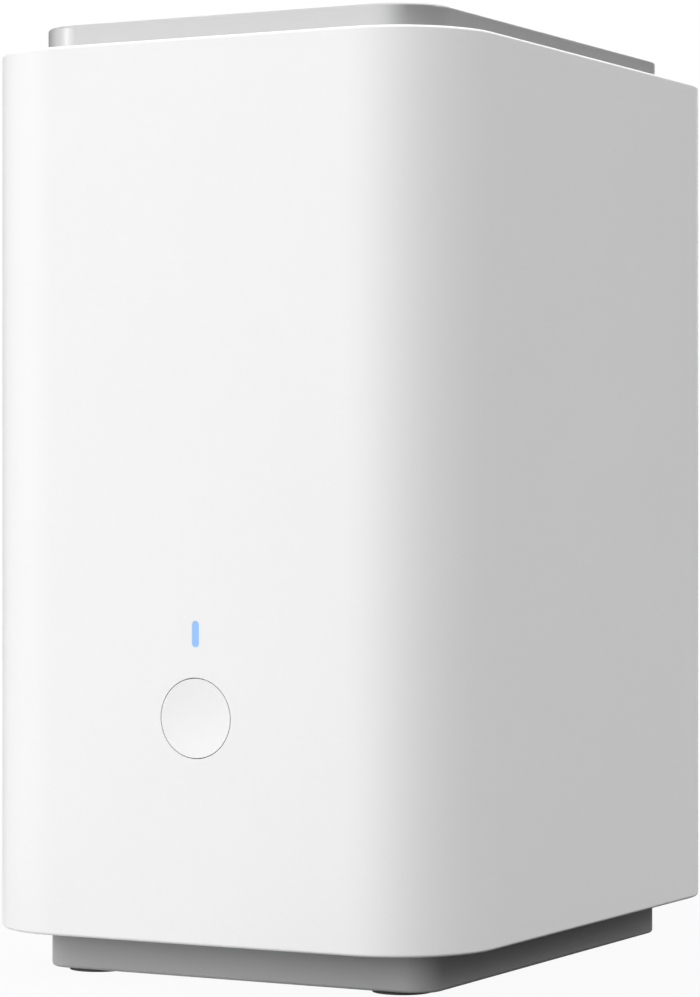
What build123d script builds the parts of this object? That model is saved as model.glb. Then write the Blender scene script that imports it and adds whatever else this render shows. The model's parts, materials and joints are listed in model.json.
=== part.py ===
from build123d import *

import os
from math import atan2, copysign, cos, degrees, radians

# Security camera base station: a white sleeve on an inset grey plinth, closed by an inset grey lid.
# A round press button and a pill-shaped status light sit low on the front. Inside, a main board lies over
# the plinth, a 3.5 inch drive stands above it in a steel cage, a fan blows out through the rear grille and
# a loudspeaker fires down through the plinth.
# Millimetres, +Z up, front towards -Y, origin under the centre. The case is wrapped round what it holds:
# each outer size is the sum of the pieces and clearances along its axis.

# Clearances and cuts
fit_gap = 0.25
slide_gap = 0.05
overrun = 1.0

# Sleeve
corner_radius = 24.0
shell_wall = 2.4
rim_round = 0.7
boss_radius = 3.4
boss_height = 30.0
rib_width = 1.6

# Feet and plinth
foot_drop = 0.8
foot_recess = 1.2
foot_radius = 7.0
foot_side_inset = 11.0
foot_end_inset = 8.5
plinth_end_inset = 15.4
plinth_radius = 7.0
plinth_round = 0.8
tray_wall = 2.4
flange_recess = 2.4
intake_slot_width = 2.6
intake_slot_length = 44.0
intake_slot_pitch = 6.0
intake_slot_count = 7
intake_back_gap = 10.1

# Lid
cap_height = 6.4
cap_inset = 11.0
cap_wall = 2.2
cap_round = 0.6
cap_boss_radius = 2.8
cap_boss_margin = 0.6
ledge_drop = 4.4
ledge_width = 9.0
ledge_thickness = 2.0
drive_top_gap = 11.5

# Screws: the larger and the smaller size, and how far each one bites
screw_radius = 1.5
head_radius = 2.8
head_height = 1.8
small_screw_radius = 1.0
small_head_radius = 1.9
small_head_height = 1.3
recess_width = 0.7
shell_screw_length = 14.0
frame_screw_length = 12.0
board_screw_length = 8.0
cap_screw_length = 7.0
small_screw_length = 6.0
fan_screw_length = 4.7
head_gap = 0.6

# Press button and its switch
button_radius = 9.1
button_gap = 0.22
button_height = 52.0
button_dish = 0.5
button_skin = 1.8
button_stop = 1.0
button_stop_height = 1.2
button_travel = 0.3
collar_wall = 1.6
collar_length = 5.2
stem_radius = 2.4
stem_length = 1.6
switch_width = 6.0
switch_height = 3.6
plunger_radius = 1.7
plunger_rise = 1.4
plunger_root = 0.8

# Status light
light_width = 1.8
light_length = 6.0
light_gap = 3.98
light_lip = 1.4
light_lip_height = 1.0
led_width = 1.6
led_length = 3.2
led_height = 1.2

# Circuit boards and the posts that carry them
board_thickness = 1.6
board_margin = 5.0
front_post_radius = 2.8
front_hole_inset = 3.2
standoff_radius = 3.2

# Rear windows and the panels in them
window_margin = 4.0
window_bar = 14.0
window_radius = 3.0
port_window_drop = 3.4
port_window_rise = 7.6
grille_top_margin = 28.0
panel_recess = 0.8
panel_lip = 4.0
panel_lip_thickness = 1.4
lip_gap = 1.2
peg_radius = 1.0
peg_head_radius = 1.6
peg_head_height = 0.7
grille_slot_height = 2.4
grille_slot_pitch = 5.6
grille_slot_margin = 3.4
grille_rib = 6.0
port_gap = 0.3

# Main board and the space round it
main_board_width = 90.0
main_board_side_gap = 4.6
main_board_front_gap = 14.6
main_board_back_gap = 1.0
main_board_clearance = 2.8
main_hole_side_inset = 4.0
main_hole_front_inset = 5.0
main_hole_back_inset = 19.0

# Sockets at the back of the main board
jack_gap = 0.2
ethernet_width = 16.0
ethernet_height = 13.4
ethernet_length = 21.0
ethernet_mouth_width = 11.9
ethernet_mouth_height = 8.2
ethernet_mouth_depth = 14.0
ethernet_latch_width = 6.4
ethernet_latch_height = 2.0
ethernet_floor = 1.6
ethernet_pin_count = 8
ethernet_pin_pitch = 1.02
ethernet_pin_width = 0.45
usb_width = 13.2
usb_height = 6.6
usb_length = 14.0
usb_sheet = 0.5
usb_tongue_height = 1.9
usb_tongue_margin = 0.9
power_width = 9.2
power_height = 11.0
power_length = 14.0
power_bore_radius = 3.2
power_bore_depth = 9.5
power_pin_radius = 1.0
reset_width = 6.4
reset_height = 5.0
reset_length = 5.6
reset_plunger_radius = 1.3
reset_plunger_rise = 1.6
reset_plunger_root = 0.9
reset_hole_radius = 0.9
reset_travel = 0.25

# Parts on the main board
processor_side = 22.0
processor_height = 1.4
pad_thickness = 0.5
sink_base = 3.0
sink_fin_height = 12.5
sink_fin_thickness = 1.3
sink_fin_count = 9
sink_left_gap = 4.2
sink_right_gap = 4.9
sink_front_gap = 2.75
sink_back_gap = 3.5
memory_width = 13.0
memory_length = 9.0
memory_height = 1.1
memory_gap = 1.6
memory_edge_gap = 3.4
coil_side = 7.4
coil_height = 4.2
coil_edge_gap = 5.3
coil_count = 3
capacitor_radius = 4.0
capacitor_height = 11.0
capacitor_groove = 0.35
capacitor_gap = 2.8
capacitor_edge_gap = 3.2
capacitor_back_gap = 2.05
radio_width = 15.0
radio_length = 22.0
radio_height = 2.6
radio_edge_gap = 1.5
radio_front_gap = 26.5
battery_radius = 10.0
battery_thickness = 3.2
battery_gap = 3.2
battery_front_gap = 13.45
holder_wall = 1.3
holder_floor = 1.2
cable_socket_width = 8.0
cable_socket_length = 5.0
cable_socket_height = 6.0
cable_socket_front_gap = 1.25
cable_socket_gap = 4.45

# Inner frame
deck_clearance = 5.0
deck_thickness = 2.5
deck_front_gap = 2.4
deck_back_gap = 1.2
leg_radius = 3.2
leg_end_inset = 15.0
cable_lane = 3.0
deck_vent_margin = 2.6
deck_vent_end_margin = 16.0
deck_vent_radius = 5.0

# Drive
drive_thickness = 26.1
drive_width = 101.6
drive_length = 147.0
drive_corner_radius = 3.0
drive_cover_thickness = 1.3
drive_board_thickness = 1.4
drive_board_recess = 3.6
drive_hole_low_inset = 28.5
drive_hole_top_inset = 16.9
drive_hole_side_inset = 6.35
drive_screw_bite = 3.6
drive_chip_height = 1.1
plug_length = 42.0
plug_width = 7.0
plug_height = 9.0
plug_edge_inset = 5.8
drive_socket_width = 6.5
drive_socket_height = 8.5
drive_socket_gap = 2.75
drive_cable_radius = 2.2

# Drive cage
cage_sheet = 1.2
cage_foot_lip = 7.95
cage_floor_gap = 2.0
cage_front_gap = 4.15
cage_back_gap = 7.85
cage_top_drop = 10.0
cage_end_inset = 12.0
cage_window_margin = 3.0
grommet_thickness = 2.0
grommet_radius = 5.0

# Fan
fan_side = 60.0
fan_depth = 15.0
fan_edge = 1.4
fan_duct_wall = 1.2
fan_flange = 3.0
fan_corner_radius = 4.0
fan_hole_inset = 5.0
fan_standoff = 2.0
fan_strut_count = 4
fan_strut_width = 3.4
fan_strut_thickness = 2.2
blade_tip_gap = 1.0
blade_count = 7
blade_chord = 13.0
blade_thickness = 1.1
blade_root_angle = 52.0
blade_tip_angle = 34.0
hub_radius = 13.0
hub_wall = 1.3
hub_gap = 0.6
shaft_radius = 1.0
shaft_gap = 0.04
bearing_radius = 2.4
bearing_tube_wall = 1.3
coil_gap = 1.2
coil_core_wall = 3.4
fan_cable_radius = 1.0
fan_cable_drop = 4.5

# Loudspeaker
speaker_side = 52.0
speaker_depth = 17.0
speaker_edge = 4.0
speaker_back_radius = 14.0
speaker_magnet_height = 6.0
speaker_corner_radius = 6.0
speaker_sheet = 1.1
speaker_rim_height = 4.6
speaker_window_count = 4
speaker_window_width = 9.0
speaker_hole_inset = 4.2
speaker_front_gap = 7.72
surround_width = 2.6
surround_seat = 2.0
cone_thickness = 0.7
coil_former_radius = 6.5
gasket_thickness = 1.0
gasket_width = 2.6
speaker_slot_width = 2.2
speaker_slot_pitch = 5.2
speaker_cable_radius = 0.9
speaker_cable_reach = 8.0

# Antennas and thin leads
antenna_width = 10.0
antenna_length = 42.0
antenna_thickness = 0.8
antenna_top_drop = 9.6
coax_radius = 0.6
coax_wall_gap = 0.15
coax_plug_radius = 1.5
coax_plug_height = 1.4
coax_drop = 12.0
front_cable_radius = 1.1

# Shares: places across the rear window, pegs along a panel's sides, chips on the drive, bends of a lead
power_share = -0.78
ethernet_share = -0.24
usb_share = 0.36
reset_share = 0.82
peg_shares = (-0.5, 0.5)
drive_chip_shares = ((0.2, 0.3, 0.14), (-0.2, 0.35, 0.1), (0.1, 0.62, 0.12))
bend_share = 0.45

# Across: the board, its tray, the screws outside the tray, the legs on them and the lane for the leads
plinth_half_width = main_board_width / 2 + main_board_side_gap + tray_wall
leg_x = plinth_half_width + head_gap + head_radius
deck_half_width = leg_x + leg_radius
cavity_half_width = deck_half_width + cable_lane
half_width = cavity_half_width + shell_wall
window_half_width = half_width - corner_radius - window_margin

# Front to back: button, switch, front board, cage with the drive, fan and rear wall
switch_stack = collar_length + button_stop_height + stem_length + plunger_rise + switch_height
cage_half_inside = drive_width / 2 + grommet_thickness
cage_half_outside = cage_half_inside + cage_sheet
drive_stack = cage_front_gap + cage_back_gap + 2 * (cage_half_outside + head_height)
rear_stack = fan_depth + fan_standoff + panel_lip_thickness + shell_wall
half_depth = (switch_stack + board_thickness + cable_socket_length + drive_stack + rear_stack) / 2
cavity_half_depth = half_depth - shell_wall
plinth_half_depth = half_depth - plinth_end_inset
front_face = -half_depth
back_face = half_depth
collar_end = front_face + collar_length
stop_end = collar_end + button_stop_height
stem_end = stop_end + stem_length
switch_front = stem_end + plunger_rise
front_board_front = switch_front + switch_height
front_board_back = front_board_front + board_thickness
front_socket_back = front_board_back + cable_socket_length
cage_y = front_socket_back + cage_front_gap + head_height + cage_half_outside
panel_front = cavity_half_depth - panel_lip_thickness
panel_back = back_face - panel_recess
fan_back = panel_front - fan_standoff
fan_front = fan_back - fan_depth
main_board_front = front_socket_back + main_board_front_gap
main_board_back = panel_front - main_board_back_gap
jack_face = panel_front - jack_gap
deck_front = front_socket_back + deck_front_gap
deck_back = fan_front - deck_back_gap
plug_y = cage_y - drive_width / 2 + plug_edge_inset + plug_length / 2
speaker_y = main_board_front - speaker_front_gap + speaker_side / 2

# Upwards: loudspeaker, main board, sockets, heat sink, deck, cage, drive and lid
tray_floor = foot_drop + tray_wall
speaker_low = tray_floor + gasket_thickness
speaker_top = speaker_low + speaker_depth
main_board_low = speaker_top + main_board_clearance
main_board_top = main_board_low + board_thickness
port_low = main_board_low - port_window_drop
port_high = main_board_top + ethernet_height + port_window_rise
flange_top = port_low - panel_lip - lip_gap
flange_low = flange_top - tray_wall
shell_low = flange_low - flange_recess
sink_low = main_board_top + processor_height + pad_thickness
sink_top = sink_low + sink_base + sink_fin_height
deck_low = sink_top + deck_clearance
deck_top = deck_low + deck_thickness
cage_floor = deck_top + cage_sheet
drive_low = cage_floor + cage_floor_gap
drive_high = drive_low + drive_length
drive_middle = (drive_low + drive_high) / 2
ledge_low = drive_high + drive_top_gap
ledge_top = ledge_low + ledge_thickness
shell_top = ledge_top + ledge_drop
cap_top = shell_top + cap_height
grille_low = port_high + window_bar
grille_high = shell_top - grille_top_margin
grille_z = (grille_low + grille_high) / 2
windows = ((port_low, port_high), (grille_low, grille_high))
button_z = shell_low + button_height
collar_radius = button_radius + button_gap + collar_wall
light_z = button_z + collar_radius + light_gap + light_lip + light_length / 2

# Sleeve corners, lid and screw holes
corner_x = half_width - corner_radius
corner_y = half_depth - corner_radius
cavity_radius = corner_radius - shell_wall
cap_half_x = half_width - cap_inset
cap_half_y = half_depth - cap_inset
cap_radius = corner_radius - cap_inset
screw_hole = screw_radius + slide_gap
small_hole = small_screw_radius + slide_gap

# Main board: its parts, from its edges inwards
board_edge = main_board_width / 2
ethernet_x = ethernet_share * window_half_width
usb_x = usb_share * window_half_width
power_x = power_share * window_half_width
power_z = main_board_top + power_height / 2
reset_x = reset_share * window_half_width
reset_z = main_board_top + reset_height / 2
reset_front = jack_face - reset_plunger_rise
capacitor_x = -board_edge + capacitor_edge_gap + capacitor_radius
capacitor_y = jack_face - ethernet_length - capacitor_back_gap - capacitor_radius
radio_x = board_edge - radio_edge_gap - radio_width / 2
radio_y = main_board_front + radio_front_gap + radio_length / 2
radio_inner = radio_x - radio_width / 2
drive_socket_x = radio_inner - drive_socket_gap - drive_socket_width / 2
holder_radius = battery_radius + fit_gap + holder_wall
battery_x = -radio_inner + battery_gap + holder_radius
battery_y = main_board_front + battery_front_gap + holder_radius
coil_x = -board_edge + coil_edge_gap + coil_side / 2
memory_outer_x = board_edge - memory_edge_gap - memory_width / 2
memory_inner_x = memory_outer_x - memory_gap - memory_width
sink_left = coil_x + coil_side / 2 + sink_left_gap
sink_right = memory_inner_x - memory_width / 2 - sink_right_gap
sink_front = radio_y + radio_length / 2 + sink_front_gap
sink_back = capacitor_y - capacitor_radius - sink_back_gap
sink_x = (sink_left + sink_right) / 2
sink_y = (sink_front + sink_back) / 2
socket_y = main_board_front + cable_socket_front_gap + cable_socket_length / 2
speaker_socket_x = drive_socket_x - drive_socket_width / 2 - cable_socket_gap - cable_socket_width / 2
front_socket_x = speaker_socket_x - cable_socket_width - cable_socket_gap
fan_socket_x = board_edge - capacitor_edge_gap - cable_socket_width / 2

# Front board
front_hole_x = collar_radius + front_post_radius + fit_gap
front_board_half_width = front_hole_x + front_hole_inset
front_board_low = button_z - switch_width / 2 - 2 * board_margin
front_board_high = light_z + light_length / 2 + board_margin
front_hole_low = front_board_low + front_hole_inset
front_hole_high = front_board_high - front_hole_inset

# Drive, fan and loudspeaker
plug_x = drive_thickness / 2 - drive_board_recess - plug_width / 2
plug_low = drive_low - plug_height / 2
plug_high = plug_low + plug_height
cage_half_foot = drive_thickness / 2 + cage_foot_lip
fan_bore_radius = fan_side / 2 - fan_edge
rotor_radius = fan_bore_radius - blade_tip_gap
strut_front = fan_back - fan_strut_thickness
bearing_front = fan_front + hub_gap + hub_wall + hub_gap
bearing_tube_radius = bearing_radius + bearing_tube_wall
speaker_mouth_radius = speaker_side / 2 - speaker_edge
speaker_magnet_radius = speaker_back_radius + speaker_sheet
speaker_seat = speaker_depth - speaker_magnet_height
voice_gap_radius = coil_former_radius + fit_gap


def block(low, high):
    """A box between two opposite corners."""
    size = Vector(*high) - Vector(*low)
    return Pos(*low) * Box(size.X, size.Y, size.Z, align=(Align.MIN,) * 3)


def slab(half_x, half_y, radius, low, high):
    """A rounded rectangle about the Z axis, standing from one level to another."""
    return Pos(0, 0, low) * extrude(RectangleRounded(2 * half_x, 2 * half_y, radius), high - low)


def rod_z(x, y, radius, low, high):
    return Pos(x, y, low) * Cylinder(radius, high - low, align=(Align.CENTER, Align.CENTER, Align.MIN))


def rod_y(x, z, radius, front, back):
    start = Pos(x, front, z) * Rot(-90, 0, 0)
    return start * Cylinder(radius, back - front, align=(Align.CENTER, Align.CENTER, Align.MIN))


def pill(size_x, size_y):
    """A flat slot shape, its round ends on the longer side."""
    turn = 0 if size_x >= size_y else 90
    return Rot(0, 0, turn) * SlotOverall(max(size_x, size_y), min(size_x, size_y))


def facing_front(x, back, z):
    """A drawing plane that looks to the front, so that what is drawn on it grows towards -Y."""
    return Plane(origin=(x, back, z), x_dir=(1, 0, 0), z_dir=(0, -1, 0))


def pill_y(x, z, size_x, size_z, front, back):
    return extrude(facing_front(x, back, z) * pill(size_x, size_z), back - front)


def pill_z(x, y, size_x, size_y, low, high):
    return Pos(x, y, low) * extrude(pill(size_x, size_y), high - low)


def plate_y(half_x, low, high, radius, front, back):
    """An upright rounded plate facing Y, centred on X = 0."""
    outline = RectangleRounded(2 * half_x, high - low, radius)
    return extrude(facing_front(0, back, (low + high) / 2) * outline, back - front)


def turned(outline):
    """The solid made by turning an outline of radii and heights about the Z axis."""
    return revolve(Plane.XZ * make_face(Polyline(*outline, close=True)), Axis.Z)


def cross_headed(seat, along, length, shank, head, head_rise):
    """A screw: its head stands behind the seat, its shank runs along the direction given."""
    upward = (Align.CENTER, Align.CENTER, Align.MIN)
    downward = (Align.CENTER, Align.CENTER, Align.MAX)
    body = Cylinder(shank, length, align=upward) + Cylinder(head, head_rise, align=downward)
    arm = Pos(0, 0, -head_rise / 2) * Box(head, recess_width, head_rise / 2, align=downward)
    body -= arm + Rot(0, 0, 90) * arm
    return Plane(origin=seat, z_dir=along) * body


def screw(seat, along, length):
    return cross_headed(seat, along, length, screw_radius, head_radius, head_height)


def small_screw(seat, along, length):
    return cross_headed(seat, along, length, small_screw_radius, small_head_radius, small_head_height)


def lead(points, radius, bend):
    """A round cable along straight runs joined by tangent arcs."""
    path = FilletPolyline(*points, radius=bend)
    start = Plane(origin=path @ 0, z_dir=path % 0)
    return sweep(start * Circle(radius), path=path)


def four(x, y):
    """The four places that mirror one another about both centre planes."""
    return [(i * x, j * y) for i in (-1, 1) for j in (-1, 1)]


def shell_screw_places():
    """In the sleeve's corners, on the diagonals of their arcs."""
    reach = (cavity_radius - boss_radius - fit_gap) * cos(radians(45))
    return four(corner_x + reach, corner_y + reach)


def leg_places():
    middle = (deck_front + deck_back) / 2
    reach = (deck_back - deck_front) / 2 - leg_end_inset
    return [(x, middle + y) for x, y in four(leg_x, reach)]


def cap_screw_places():
    inset = cap_radius - (cap_radius - cap_wall - cap_boss_radius - cap_boss_margin) * cos(radians(45))
    return four(cap_half_x - inset, cap_half_y - inset)


def main_screw_places():
    x = board_edge - main_hole_side_inset
    rows = (main_board_front + main_hole_front_inset, main_board_back - main_hole_back_inset)
    return [(side * x, y) for side in (-1, 1) for y in rows]


def speaker_screw_places():
    reach = speaker_side / 2 - speaker_hole_inset
    return [(x, speaker_y + y) for x, y in four(reach, reach)]


def front_screw_places():
    return [(side * front_hole_x, z) for side in (-1, 1) for z in (front_hole_low, front_hole_high)]


def fan_screw_places():
    reach = fan_side / 2 - fan_hole_inset
    return [(x, grille_z + z) for x, z in four(reach, reach)]


def cage_screw_places():
    x = (drive_thickness / 2 + cage_half_foot) / 2
    return [(i, cage_y + j) for i, j in four(x, cage_half_outside - cage_end_inset)]


def drive_screw_places():
    """X and Z of the drive's side holes, the same on its front and back edges."""
    x = drive_thickness / 2 - drive_hole_side_inset
    return [(x, drive_low + drive_hole_low_inset), (x, drive_high - drive_hole_top_inset)]


def foot_places():
    return four(plinth_half_width - foot_side_inset, plinth_half_depth - foot_end_inset)


def peg_places(low, high):
    """X and Z of the sleeve's pegs that go through a rear panel's lip."""
    x = window_half_width + (fit_gap + panel_lip) / 2
    rows = [(low + high) / 2 + share * (high - low) / 2 for share in peg_shares]
    return [(side * x, z) for side in (-1, 1) for z in rows]


def outer_shell():
    """The white sleeve: four walls, a top deck round the lid opening, and the bosses moulded inside."""
    body = slab(half_width, half_depth, corner_radius, shell_low, shell_top)
    rims = body.faces().sort_by(Axis.Z)
    body = fillet(rims[0].edges() + rims[-1].edges(), rim_round)
    cavity_top = shell_top - shell_wall
    body -= slab(cavity_half_width, cavity_half_depth, cavity_radius, shell_low - overrun, cavity_top)
    body = body + lid_seat() - lid_opening()
    for x, y in shell_screw_places():
        body += corner_boss(x, y)
        end = flange_low + shell_screw_length + overrun
        body -= rod_z(x, y, screw_hole, flange_top - overrun, end)
    guide = button_radius + button_gap
    body += rod_y(0, button_z, collar_radius, front_face + shell_wall / 2, collar_end)
    body -= rod_y(0, button_z, guide, front_face - overrun, collar_end + overrun)
    slot_x, slot_z = light_width + 2 * slide_gap, light_length + 2 * slide_gap
    body -= pill_y(0, light_z, slot_x, slot_z, front_face - overrun, front_face + shell_wall + overrun)
    for x, z in front_screw_places():
        body += rod_y(x, z, front_post_radius, front_face + shell_wall / 2, front_board_front)
        end = front_board_back - small_screw_length - overrun
        body -= rod_y(x, z, small_hole, end, front_board_front + overrun)
    for low, high in windows:
        body = body - rear_window(low, high) + panel_pegs(low, high)
    return body


def lid_seat():
    """The down-turned lip and the ledge under it that the lid stands on."""
    lip = fit_gap + shell_wall
    return slab(cap_half_x + lip, cap_half_y + lip, cap_radius + lip, ledge_low, shell_top - rim_round)


def lid_opening():
    half_x, half_y = cap_half_x - ledge_width, cap_half_y - ledge_width
    hole = slab(half_x, half_y, cap_radius / 3, ledge_low - overrun, shell_top)
    half_x, half_y = cap_half_x + fit_gap, cap_half_y + fit_gap
    hole += slab(half_x, half_y, cap_radius + fit_gap, ledge_top, shell_top + overrun)
    for x, y in cap_screw_places():
        hole += rod_z(x, y, small_hole, ledge_low - overrun, ledge_top + overrun)
    return hole


def corner_boss(x, y):
    """A screw boss standing on the flange, with a rib outwards into the sleeve's corner."""
    outward = degrees(atan2(y - copysign(corner_y, y), x - copysign(corner_x, x)))
    reach = boss_radius + fit_gap + shell_wall / 2
    rib = Box(reach, rib_width, boss_height, align=(Align.MIN, Align.CENTER, Align.MIN))
    post = rod_z(x, y, boss_radius, flange_top, flange_top + boss_height)
    return post + Pos(x, y, flange_top) * Rot(0, 0, outward) * rib


def rear_window(low, high):
    half, radius = window_half_width + fit_gap, window_radius + fit_gap
    front, back = cavity_half_depth - overrun, back_face + overrun
    return plate_y(half, low - fit_gap, high + fit_gap, radius, front, back)


def panel_pegs(low, high):
    """The pegs that hold a rear panel by its lip, melted over to heads on the inside."""
    front = panel_front - peg_head_height
    pegs = []
    for x, z in peg_places(low, high):
        pegs.append(rod_y(x, z, peg_radius, front, cavity_half_depth + shell_wall / 2))
        pegs.append(rod_y(x, z, peg_head_radius, front, panel_front))
    return pegs


def top_cap():
    """The light grey lid: a shallow tray turned over, standing on the ledge inside the opening."""
    body = slab(cap_half_x, cap_half_y, cap_radius, ledge_top, cap_top)
    body = fillet(body.faces().sort_by(Axis.Z)[-1].edges(), cap_round)
    half_x, half_y = cap_half_x - cap_wall, cap_half_y - cap_wall
    body -= slab(half_x, half_y, cap_radius - cap_wall, ledge_top - overrun, cap_top - cap_wall)
    for x, y in cap_screw_places():
        body += rod_z(x, y, cap_boss_radius, ledge_top, cap_top - cap_wall / 2)
        body -= rod_z(x, y, small_hole, ledge_top - overrun, ledge_low + cap_screw_length + overrun)
    return body


def cap_screws():
    return [small_screw((x, y, ledge_low), (0, 0, 1), cap_screw_length) for x, y in cap_screw_places()]


def base_tray():
    """The dark grey plinth: a floor with slots, a wall, and a wide flange that closes the sleeve."""
    body = slab(plinth_half_width, plinth_half_depth, plinth_radius, foot_drop, flange_low)
    body = fillet(body.faces().sort_by(Axis.Z)[0].edges(), plinth_round)
    half_x, half_y = cavity_half_width - fit_gap, cavity_half_depth - fit_gap
    body += slab(half_x, half_y, cavity_radius - fit_gap, flange_low, flange_top)
    half_x, half_y = plinth_half_width - tray_wall, plinth_half_depth - tray_wall
    body -= slab(half_x, half_y, plinth_radius - tray_wall, tray_floor, flange_top + overrun)
    for x, y in foot_places():
        body -= rod_z(x, y, foot_radius, foot_drop - overrun, foot_drop + foot_recess)
    body -= intake_slots() + speaker_slots()
    for x, y in main_screw_places():
        body += rod_z(x, y, standoff_radius, tray_floor - tray_wall / 2, main_board_low)
        end = main_board_top - board_screw_length - overrun
        body -= rod_z(x, y, screw_hole, end, main_board_low + overrun)
    for x, y in speaker_screw_places():
        body += rod_z(x, y, speaker_hole_inset, tray_floor - tray_wall / 2, speaker_low)
        body -= rod_z(x, y, small_hole, foot_drop + tray_wall / 4, speaker_low + overrun)
    for x, y in shell_screw_places() + leg_places():
        body -= rod_z(x, y, screw_hole, flange_low - overrun, flange_top + overrun)
    return body


def intake_slots():
    """Slots in the floor behind the loudspeaker, where the fan draws its air in."""
    last = plinth_half_depth - tray_wall - intake_back_gap
    low, high = foot_drop - overrun, tray_floor + overrun
    places = [last - i * intake_slot_pitch for i in range(intake_slot_count)]
    return [pill_z(0, y, intake_slot_length, intake_slot_width, low, high) for y in places]


def speaker_slots():
    """Slots under the loudspeaker's mouth, as long as the round mouth is wide at each one."""
    rows = int(speaker_mouth_radius / speaker_slot_pitch)
    low, high = foot_drop - overrun, tray_floor + overrun
    slots = []
    for i in range(-rows, rows + 1):
        y = i * speaker_slot_pitch
        length = 2 * ((speaker_mouth_radius**2 - y**2) ** 0.5 - speaker_slot_width)
        if length > speaker_slot_pitch:
            slots.append(pill_z(0, speaker_y + y, length, speaker_slot_width, low, high))
    return slots


def rubber_feet():
    return [rod_z(x, y, foot_radius, 0, foot_drop + foot_recess) for x, y in foot_places()]


def shell_screws():
    return [screw((x, y, flange_low), (0, 0, 1), shell_screw_length) for x, y in shell_screw_places()]


def frame_screws():
    return [screw((x, y, flange_low), (0, 0, 1), frame_screw_length) for x, y in leg_places()]


def window_panel(low, high):
    """A plate that fills a rear window, with the lip behind the wall and the holes for the pegs."""
    body = plate_y(window_half_width, low, high, window_radius, panel_front, panel_back)
    half, radius = window_half_width + panel_lip, window_radius + panel_lip
    body += plate_y(half, low - panel_lip, high + panel_lip, radius, panel_front, cavity_half_depth)
    for x, z in peg_places(low, high):
        body -= rod_y(x, z, peg_radius + slide_gap, panel_front - overrun, cavity_half_depth + overrun)
    return body


def rear_grille():
    """The plate of slots that fills the upper window, with four posts that carry the fan."""
    body = window_panel(grille_low, grille_high)
    length = window_half_width - grille_slot_margin - grille_rib / 2
    x = (grille_rib + length) / 2
    front, back = panel_front - overrun, panel_back + overrun
    rows = int((grille_high - grille_low - 2 * grille_slot_margin) / grille_slot_pitch)
    slots = []
    for i in range(rows):
        z = grille_z + (i - (rows - 1) / 2) * grille_slot_pitch
        slots += [pill_y(side * x, z, length, grille_slot_height, front, back) for side in (-1, 1)]
    body -= slots
    for x, z in fan_screw_places():
        body += rod_y(x, z, front_post_radius, fan_back, cavity_half_depth)
        end = fan_back - fan_flange + fan_screw_length + overrun
        body -= rod_y(x, z, small_hole, fan_back - overrun, end)
    return body


def port_panel():
    """The lower rear panel: openings for the network, USB and power sockets, and the reset pin hole."""
    body = window_panel(port_low, port_high)
    front, back = panel_front - overrun, panel_back + overrun
    mouth_low = main_board_top + ethernet_floor + ethernet_latch_height
    openings = (
        (ethernet_x, ethernet_mouth_width, mouth_low, mouth_low + ethernet_mouth_height),
        (ethernet_x, ethernet_latch_width, main_board_top + ethernet_floor, mouth_low + ethernet_floor),
        (usb_x, usb_width, main_board_top, main_board_top + usb_height),
    )
    for x, size_x, low, high in openings:
        reach = size_x / 2 + port_gap
        body -= block((x - reach, front, low - port_gap), (x + reach, back, high + port_gap))
    body -= rod_y(power_x, power_z, power_bore_radius + port_gap, front, back)
    return body - rod_y(reset_x, reset_z, reset_hole_radius, front, back)


def front_button():
    """The round button: a dished cap in the collar, a stop ring behind it and a stem to the switch."""
    body = rod_y(0, button_z, button_radius, front_face, stop_end)
    body += rod_y(0, button_z, button_radius + button_gap + button_stop, collar_end, stop_end)
    pocket_front = front_face + button_skin + button_dish
    body -= rod_y(0, button_z, button_radius - button_skin, pocket_front, stop_end + overrun)
    body += rod_y(0, button_z, stem_radius, front_face + button_skin, stem_end)
    ball = (button_radius**2 + button_dish**2) / (2 * button_dish)
    return body - Pos(0, front_face + button_dish - ball, button_z) * Sphere(ball)


def status_light_pipe():
    """The clear pill that carries light from the board to the front face, held by a lip inside the wall."""
    back = front_board_front - led_height - fit_gap
    body = pill_y(0, light_z, light_width, light_length, front_face, back)
    lip_front = front_face + shell_wall
    lip_x, lip_z = light_width + 2 * light_lip, light_length + 2 * light_lip
    return body + pill_y(0, light_z, lip_x, lip_z, lip_front, lip_front + light_lip_height)


def status_led():
    half_x, half_z = led_width / 2, led_length / 2
    front = front_board_front - led_height
    return block((-half_x, front, light_z - half_z), (half_x, front_board_front, light_z + half_z))


def front_board():
    """The upright board behind the button, with the socket of its lead on the back."""
    half = front_board_half_width
    body = block((-half, front_board_front, front_board_low), (half, front_board_back, front_board_high))
    for x, z in front_screw_places():
        body -= rod_y(x, z, small_hole, front_board_front - overrun, front_board_back + overrun)
    left, right = front_socket_x - cable_socket_width / 2, front_socket_x + cable_socket_width / 2
    low = front_board_low + fit_gap
    front = front_board_back - board_thickness / 2
    return body + block((left, front, low), (right, front_socket_back, low + cable_socket_height))


def front_board_screws():
    seat = front_board_back
    return [small_screw((x, seat, z), (0, -1, 0), small_screw_length) for x, z in front_screw_places()]


def front_switch():
    """The square switch under the button, bored for its plunger."""
    half = switch_width / 2
    body = block((-half, switch_front, button_z - half), (half, front_board_front, button_z + half))
    deep = switch_front + plunger_root + button_travel + fit_gap
    return body - rod_y(0, button_z, plunger_radius + slide_gap, switch_front - overrun, deep)


def front_switch_plunger():
    return rod_y(0, button_z, plunger_radius, stem_end, switch_front + plunger_root)


def front_board_cable():
    """The lead from the front board down to its socket on the main board."""
    x, y = front_socket_x, front_board_back + cable_socket_length / 2
    top = front_board_low + fit_gap
    end = socket_y - cable_socket_length / 2
    z = main_board_top + cable_socket_height / 2
    return lead([(x, y, top), (x, y, z), (x, end, z)], front_cable_radius, bend_share * min(top - z, end - y))


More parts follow.
